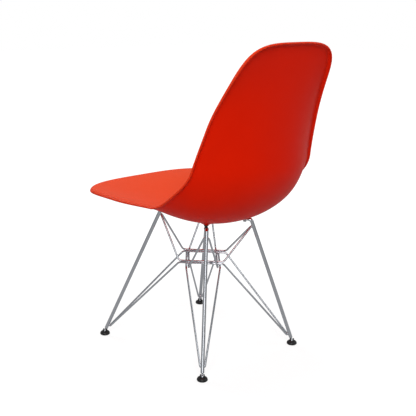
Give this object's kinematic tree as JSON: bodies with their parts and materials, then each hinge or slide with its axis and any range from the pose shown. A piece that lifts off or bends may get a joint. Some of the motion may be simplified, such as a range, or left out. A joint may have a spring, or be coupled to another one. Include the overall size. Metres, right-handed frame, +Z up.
{
  "type": "shell chair",
  "caption": "Moulded plastic shell chair, seat and back in one piece, on a base of bent steel rods braced by crossing wire loops, with tilting floor glides.",
  "frame": {"origin": "on the floor, under the middle of the chair's outline", "axes": "+Z up, the sitter faces -Y, +X is the sitter's left"},
  "size_m": [0.4686, 0.5768, 0.8147],
  "materials": {
    "shell_plastic": "satin",
    "chrome_rod": "polished",
    "chrome_wire": "polished",
    "brass": "machined",
    "damper_rubber": "matt",
    "zinc_steel": "zinc plated",
    "glide_plastic": "moulded, fine sheen"
  },
  "bodies": {
    "chair": {"seat_shell": "shell_plastic", "leg_front_left": "chrome_rod", "insert_front_left": "brass", "damper_front_left": "damper_rubber", "spring_washer_front_left": "zinc_steel", "mount_screw_front_left": "zinc_steel", "leg_front_right": "chrome_rod", "insert_front_right": "brass", "damper_front_right": "damper_rubber", "spring_washer_front_right": "zinc_steel", "mount_screw_front_right": "zinc_steel", "leg_rear_left": "chrome_rod", "insert_rear_left": "brass", "damper_rear_left": "damper_rubber", "spring_washer_rear_left": "zinc_steel", "mount_screw_rear_left": "zinc_steel", "leg_rear_right": "chrome_rod", "insert_rear_right": "brass", "damper_rear_right": "damper_rubber", "spring_washer_rear_right": "zinc_steel", "mount_screw_rear_right": "zinc_steel", "upper_brace_a_rear": "chrome_wire", "upper_brace_a_front": "chrome_wire", "lower_brace_a_rear": "chrome_wire", "lower_brace_a_front": "chrome_wire", "upper_brace_b_right": "chrome_wire", "upper_brace_b_left": "chrome_wire", "lower_brace_b_right": "chrome_wire", "lower_brace_b_left": "chrome_wire"},
    "glide_front_left": {"glide_front_left": "glide_plastic"},
    "glide_front_right": {"glide_front_right": "glide_plastic"},
    "glide_rear_left": {"glide_rear_left": "glide_plastic"},
    "glide_rear_right": {"glide_rear_right": "glide_plastic"}
  },
  "joints": [
    {"name": "tilt_front_left", "type": "hinge", "parent": "chair", "child": "glide_front_left", "pos_m": [0.183, -0.2192, 0.0105], "axis": [-0.7494, -0.6622, 0], "range_deg": [-8, 8]},
    {"name": "tilt_front_right", "type": "hinge", "parent": "chair", "child": "glide_front_right", "pos_m": [-0.183, -0.2192, 0.0105], "axis": [-0.7494, 0.6622, 0], "range_deg": [-8, 8]},
    {"name": "tilt_rear_left", "type": "hinge", "parent": "chair", "child": "glide_rear_left", "pos_m": [0.1678, 0.1708, 0.0105], "axis": [0.7369, -0.676, 0], "range_deg": [-8, 8]},
    {"name": "tilt_rear_right", "type": "hinge", "parent": "chair", "child": "glide_rear_right", "pos_m": [-0.1678, 0.1708, 0.0105], "axis": [0.7369, 0.676, 0], "range_deg": [-8, 8]}
  ]
}
